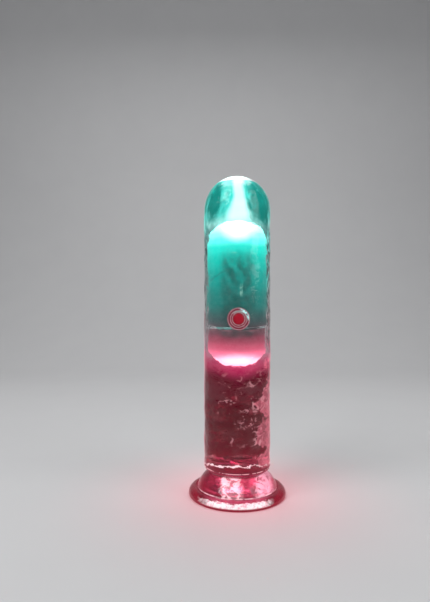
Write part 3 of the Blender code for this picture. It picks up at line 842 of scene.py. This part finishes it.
def gland_finish():
    """Clear plastic with the red light painted into its tint and glow, painted pale highlights on its ring
    edges, and a painted teal glint above right.
    """
    clear = Finish("ringed_clear", roughness=0.07, ior=1.46, transmission_weight=1.0)
    wave = clear.noise(3, detail=2)
    clear.set("Base Color", clear.mix(wave, (0.26, 0.05, 0.08), (0.38, 0.10, 0.14)))
    up = clear.minus(clear.z, BUTTON_Z)
    radius = clear.reach(clear.x, up)
    diagonal = clear.plus(clear.times(clear.x, 0.8), clear.times(up, 0.6))
    rings = []
    # Painted pale highlights along the three ring edges
    for ring_mm in (3.75, 4.95, 6.35):
        broken = clear.span(clear.noise(1.6), 0.3, 0.6, 0.45, 0.8)
        rings.append(((0.30, 0.26, 0.26), 1.0, clear.times(clear.band(radius, ring_mm, 0.27, 0.16), broken)))
    sparkle = clear.span(clear.noise(0.9, detail=2), 0.44, 0.56, 0.08, 1.0)
    corner_glint = clear.times(clear.span_mm(diagonal, 3.2, 5.6), clear.band(radius, 5.5, 1.0, 0.5), sparkle)
    teal_light_above = clear.times(clear.span_mm(up, 2.6, 4.2), clear.band(radius, 4.4, 0.4, 0.25))
    light = clear.layered(
        clear.mix(wave, (0.045, 0.002, 0.008), (0.10, 0.004, 0.016)),
        *rings,
        ((0.40, 0.95, 0.90), 0.85, corner_glint),
        ((0.10, 0.45, 0.40), 0.5, teal_light_above),
    )
    clear.shine(light)
    return clear


def make_button():
    """The red cap, crowned and softly rounded, with its collar and stem."""
    end, crown = -cap_hi.y, -cap_lo.y
    stem_r = 1.5 * MM
    stem_round = 0.15 * MM
    fillet = 0.4 * MM
    collar_r = 4.0 * MM
    collar_front = 18.2 * MM
    collar_back = collar_front - 1.0 * MM
    cap_r = 3.1 * MM
    cap_edge = (0.5 * MM, 0.62 * MM)
    cap_edge_drop = 1.0 * MM
    crown_fall = 0.24 * MM
    crown_step = 0.03 * MM
    crown_half_mm = 2.35
    stem_tip_r = stem_r - stem_round
    profile = [(0, end), (stem_tip_r, end)]
    profile += arc((stem_tip_r, end + stem_round), (stem_round, stem_round), -90, 0, 3)
    profile += [(stem_r, collar_back - fillet)]
    profile += arc((stem_r + fillet, collar_back - fillet), (fillet, fillet), 180, 90, 4)
    profile += [(collar_r, collar_back), (collar_r, collar_front), (cap_r, collar_front)]
    profile += arc((cap_r - cap_edge[0], crown - cap_edge_drop), cap_edge, 0, 60, 8)
    for r_mm in (2.3, 1.9, 1.5, 1.1, 0.7, 0.3):
        profile.append((r_mm * MM, crown - crown_fall * (r_mm / crown_half_mm) ** 2 - crown_step))
    return lathe("red_button", profile + [(0, crown)], 96, BUTTON_AXIS)


def button_finish():
    """Red silicone that glows a little at its front."""
    red = Finish(
        "red_button_skin",
        roughness=0.45,
        coat_weight=0.1,
        subsurface_weight=0.1,
        specular_ior_level=0.3,
    )
    red.shader.inputs["Subsurface Radius"].default_value = (0.002, 0.0004, 0.0003)
    red.set("Base Color", red.mix(red.noise(1.5, detail=4), (0.20, 0.001, 0.008), (0.32, 0.002, 0.012)))
    red.shine(red.ramp(red.y, ((-22, (0.17, 0.0, 0.009)), (-19, (0.07, 0.0, 0.003)))))
    red.set("Normal", red.bump(red.noise(0.4), 0.015))
    return red


# ------------------------------------------------------------------------------- CAD-shaped works


def sleeve_finish():
    """The cell's blue shrink sleeve, with a dark line down its front and back and a pale band."""
    sleeve = Finish("cell_sleeve_blue", roughness=0.3, coat_weight=0.4)
    skin = sleeve.mix(sleeve.noise(3), (0.05, 0.15, 0.30), (0.08, 0.20, 0.38))
    skin = sleeve.layered(
        skin,
        ((0.60, 0.62, 0.64), 1.0, sleeve.band(sleeve.z, 146, 2.4, 0.1)),
        ((0.02, 0.05, 0.10), 0.3, sleeve.band(sleeve.x, 0, 0.5, 0.2)),
    )
    sleeve.set("Base Color", skin)
    sleeve.set("Normal", sleeve.bump(sleeve.noise(1.5, stretch=(1, 1, 4)), 0.05))
    return sleeve


def board_finish():
    """Green solder mask, with paler tracks in a brick pattern."""
    per_metre = 420
    board = Finish("board_green_mask", roughness=0.32, coat_weight=0.3)
    turned = board.node("ShaderNodeMapping")
    board.link(board.place, turned.inputs["Vector"])
    turned.inputs["Rotation"].default_value = (math.pi / 2, 0, 0)
    turned.inputs["Scale"].default_value = (per_metre, per_metre, per_metre)
    tracks = board.node("ShaderNodeTexBrick")
    board.link(turned.outputs[0], tracks.inputs["Vector"])
    tracks.inputs["Mortar Size"].default_value = 0.06
    board.put(tracks.inputs["Color1"], (0.014, 0.13, 0.07))
    board.put(tracks.inputs["Color2"], (0.018, 0.16, 0.085))
    board.put(tracks.inputs["Mortar"], (0.03, 0.26, 0.13))
    board.set("Base Color", tracks.outputs["Color"])
    return board


def lens_finish(name, dark, light):
    """A lit light's lens."""
    lens = Finish(name, roughness=0.12, ior=1.5, transmission_weight=0.4)
    lens.set("Base Color", lens.mix(lens.noise(1.5), dark, light))
    lens.shine(lens.mix(lens.noise(2), dark, light), 45.0)
    return lens


def moulded_looks():
    """The plastic and rubber finishes, each with the pieces that have it."""
    rubber = mottled("seal_rubber_grey", (0.50, 0.51, 0.51), roughness=0.62)
    white = mottled("moulded_white", (0.80, 0.82, 0.81), spread=0.06, size=2, roughness=0.42)
    mask = mottled("board_white_mask", (0.76, 0.78, 0.76), spread=0.08, size=0.8, roughness=0.35)
    black = mottled("moulded_black", (0.022, 0.022, 0.024), spread=0.3, size=0.5, roughness=0.5)
    cap_black = mottled("plunger_black", (0.03, 0.03, 0.03), spread=0.3, size=0.4, roughness=0.38)
    red_wire = mottled("lead_skin_red", (0.50, 0.016, 0.016), spread=0.12, size=0.7, roughness=0.42)
    black_wire = mottled("lead_skin_black", (0.02, 0.02, 0.022), spread=0.25, size=0.7, roughness=0.42)
    return (
        (rubber, ("gland_seal",)),
        (white, ("carrier_frame", "upper_reflector", "lower_reflector")),
        (mask, ("upper_led_board", "lower_led_board")),
        (black, ("control_chip", "switch_body")),
        (cap_black, ("switch_plunger",)),
        (red_wire, ("upper_lead_positive", "lower_lead_positive")),
        (black_wire, ("upper_lead_negative", "lower_lead_negative")),
    )


def metal_looks():
    """The metal finishes, each with the pieces that have it."""
    can = mottled("cell_can", (0.60, 0.60, 0.62), spread=0.08, size=1.5, roughness=0.28, metallic=1.0)
    tab = mottled("nickel_tab", (0.66, 0.62, 0.55), spread=0.1, size=0.6, roughness=0.3, metallic=1.0)
    screw = mottled("screw_steel", (0.58, 0.58, 0.60), size=0.3, roughness=0.26, metallic=1.0)
    screws = [f"{part}_screw_{k}" for part in ("board", "upper_led", "lower_led") for k in (1, 2)]
    return (
        (can, ("battery_cell",)),
        (tab, ("positive_tab", "negative_tab")),
        (screw, screws),
    )


def finish_works():
    """Gives each CAD-shaped piece a procedural finish."""
    special_looks = (
        (board_finish(), ("main_board",)),
        (sleeve_finish(), ("battery_wrap",)),
        (lens_finish("led_lens_teal", (0.10, 0.80, 0.66), (0.45, 1.0, 0.90)), ("upper_led",)),
        (lens_finish("led_lens_red", (0.90, 0.10, 0.22), (1.0, 0.45, 0.55)), ("lower_led",)),
    )
    for look, names in (*moulded_looks(), *metal_looks(), *special_looks):
        for name in names:
            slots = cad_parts[name].data.materials
            if slots:
                slots[0] = look.material
            else:
                slots.append(look.material)


# ------------------------------------------------------------------------------------ assembling

column = gel_finish().done(make_column())
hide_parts("column")
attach(column, HOUSING)

foot = foot_finish().done(make_foot())
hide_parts("suction_foot")
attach(foot, HOUSING)

upper_shell = make_upper_shell()
lower_shell = make_lower_shell()
frosted = shell_finish()
for piece, node in ((upper_shell, "capsule_upper_shell"), (lower_shell, "capsule_lower_shell")):
    frosted.done(piece)
    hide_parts(node)
    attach(piece, HOUSING)

gasket = gasket_finish().done(make_gasket())
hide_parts("seam_gasket")
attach(gasket, HOUSING)

gland = gland_finish().done(make_gland())
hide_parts("button_gland")
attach(gland, HOUSING)

button = button_finish().done(make_button())
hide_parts("button_cap")
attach(button, BUTTON)

finish_works()


# --------------------------------------------------------------------------------- studio, camera


def make_sweep():
    """A pale floor that curves up into a wall behind, with no line between them."""
    front, bend, wall_top, half_width = -1.2, 0.5, 2.2, 2.0
    steps = 24
    path = [(front, 0.0), (bend, 0.0)]
    for step in range(1, steps + 1):
        angle = step * math.pi / (2 * steps)
        path.append((bend + bend * math.sin(angle), bend - bend * math.cos(angle)))
    path.append((2 * bend, wall_top))
    bm = bmesh.new()
    rows = [[bm.verts.new((x, y, z)) for x in (-half_width, half_width)] for y, z in path]
    for (a, b), (c, d) in zip(rows, rows[1:]):
        bm.faces.new((a, b, d, c))
    return add_object("studio_sweep", bm, 60)


def paper_finish():
    """Pale paper, with a little of the foot's red light on it near the foot."""
    pale = Finish("pale_paper", roughness=0.55)
    pale.set("Base Color", pale.mix(pale.noise(60, detail=2), (0.60, 0.60, 0.61), (0.63, 0.63, 0.635)))
    nearness = pale.span(pale.reach(pale.x, pale.y), 150 * MM, 26 * MM, smooth=False)
    spill = pale.times(pale.math("POWER", nearness, 3.0), pale.span_mm(pale.z, 20, 5))
    pale.shine(pale.mix(spill, (0, 0, 0), (0.34, 0.03, 0.06)))
    return pale


def area_light(name, place, target, size, power):
    """A rectangular softbox at place, aimed at target."""
    data = bpy.data.lights.new(name, "AREA")
    data.shape = "RECTANGLE"
    data.size, data.size_y = size
    data.energy = power
    light = bpy.data.objects.new(name, data)
    light.location = place
    light.rotation_euler = (Vector(target) - Vector(place)).to_track_quat("-Z", "Y").to_euler()
    bpy.context.scene.collection.objects.link(light)


def make_world():
    """A dim, even, slightly cool room."""
    world = bpy.data.worlds.new("soft_room")
    bpy.context.scene.world = world
    world.use_nodes = True
    background = world.node_tree.nodes["Background"]
    background.inputs["Color"].default_value = (0.80, 0.81, 0.83, 1)
    background.inputs["Strength"].default_value = 0.25


def make_camera():
    """Level, close and a little left of the middle, as the photograph was taken."""
    data = bpy.data.cameras.new("camera")
    data.lens = 30.0
    data.sensor_width = 36.0
    data.clip_start = 0.01
    data.clip_end = 10.0
    camera = bpy.data.objects.new("camera", data)
    camera.location = (-0.014, -0.318, 0.1214)
    camera.rotation_euler = (math.pi / 2, 0, 0)
    bpy.context.scene.collection.objects.link(camera)
    bpy.context.scene.camera = camera
    bpy.context.scene.view_settings.view_transform = "Standard"


paper_finish().done(make_sweep())
area_light("key_softbox", (-0.55, -0.45, 0.75), (0, 0, 0.10), (0.5, 0.5), 4.0)
area_light("fill_softbox", (0.60, -0.35, 0.45), (0, 0, 0.10), (0.4, 0.6), 1.6)
area_light("top_softbox", (0.0, 0.25, 0.95), (0, 0.1, 0.0), (0.8, 0.5), 4.2)
make_world()
make_camera()
